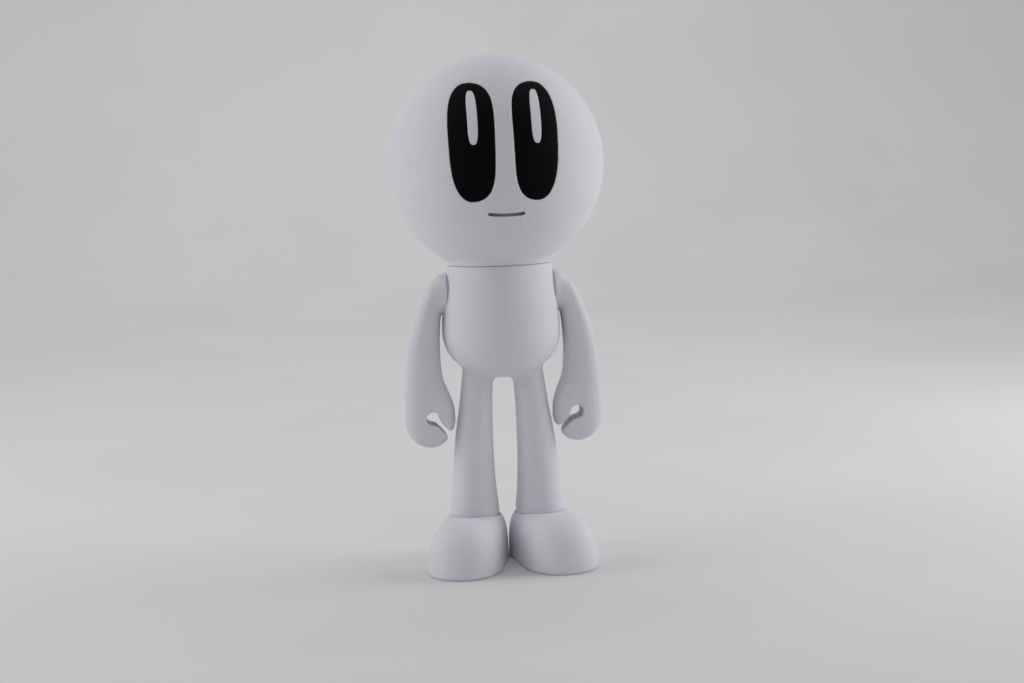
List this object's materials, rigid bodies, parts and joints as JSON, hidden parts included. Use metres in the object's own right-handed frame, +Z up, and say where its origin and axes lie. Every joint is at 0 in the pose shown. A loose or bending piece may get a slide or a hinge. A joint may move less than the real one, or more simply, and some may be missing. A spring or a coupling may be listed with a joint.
{
  "type": "posable figure kit",
  "caption": "Free-standing ball-headed figure in printed plastic, with a turning neck, swinging arms with grip hands, and swivelling shoes.",
  "frame": {"origin": "on the floor, under the axis of the body and neck", "axes": "+Z up along the body, -Y the way the face looks, +X the figure's own left"},
  "size_m": [0.085, 0.085, 0.2],
  "materials": {
    "white_print": "matte white printed plastic with fine layer lines",
    "black_print": "matte black printed plastic",
    "nylon": "natural nylon, smooth",
    "rubber": "soft black rubber",
    "steel": "plain zinc-plated steel"
  },
  "bodies": {
    "torso": {"body_shell": "white_print", "collar_plate": "white_print", "collar_screw_1": "steel", "collar_screw_2": "steel", "collar_screw_3": "steel", "neck_bush": "nylon", "shoulder_bush_left": "nylon", "shoulder_bush_right": "nylon", "ankle_pin_left": "nylon", "ankle_pin_right": "nylon"},
    "head": {"head_shell": "white_print", "eye_left": "black_print", "eye_right": "black_print", "eye_highlight_left": "white_print", "eye_highlight_right": "white_print", "head_base_plate": "white_print", "head_base_screw_1": "steel", "head_base_screw_2": "steel", "head_base_screw_3": "steel", "neck_post": "steel", "neck_friction_ring": "rubber", "neck_washer": "steel", "neck_screw": "steel"},
    "arm_left": {"arm_left": "white_print", "shoulder_axle_left": "steel", "shoulder_ring_left": "rubber", "shoulder_clip_left": "steel"},
    "arm_right": {"arm_right": "white_print", "shoulder_axle_right": "steel", "shoulder_ring_right": "rubber", "shoulder_clip_right": "steel"},
    "foot_left": {"shoe_left": "white_print", "ankle_ring_left": "rubber", "ankle_washer_left": "steel", "ankle_screw_left": "steel"},
    "foot_right": {"shoe_right": "white_print", "ankle_ring_right": "rubber", "ankle_washer_right": "steel", "ankle_screw_right": "steel"}
  },
  "joints": [
    {"name": "neck_turn", "type": "hinge", "parent": "torso", "child": "head", "pos_m": [0, 0, 0.1184], "axis": [0, 0, 1], "continuous": true},
    {"name": "shoulder_left", "type": "hinge", "parent": "torso", "child": "arm_left", "pos_m": [0.0214, 0, 0.1075], "axis": [-1, 0, 0], "range_deg": [-120, 120]},
    {"name": "shoulder_right", "type": "hinge", "parent": "torso", "child": "arm_right", "pos_m": [-0.0214, 0, 0.1075], "axis": [-1, 0, 0], "range_deg": [-120, 120]},
    {"name": "ankle_left", "type": "hinge", "parent": "torso", "child": "foot_left", "pos_m": [0.01325, 0, 0.014], "axis": [0, 0, 1], "range_deg": [0, 30]},
    {"name": "ankle_right", "type": "hinge", "parent": "torso", "child": "foot_right", "pos_m": [-0.01325, 0, 0.014], "axis": [0, 0, -1], "range_deg": [0, 30]}
  ]
}
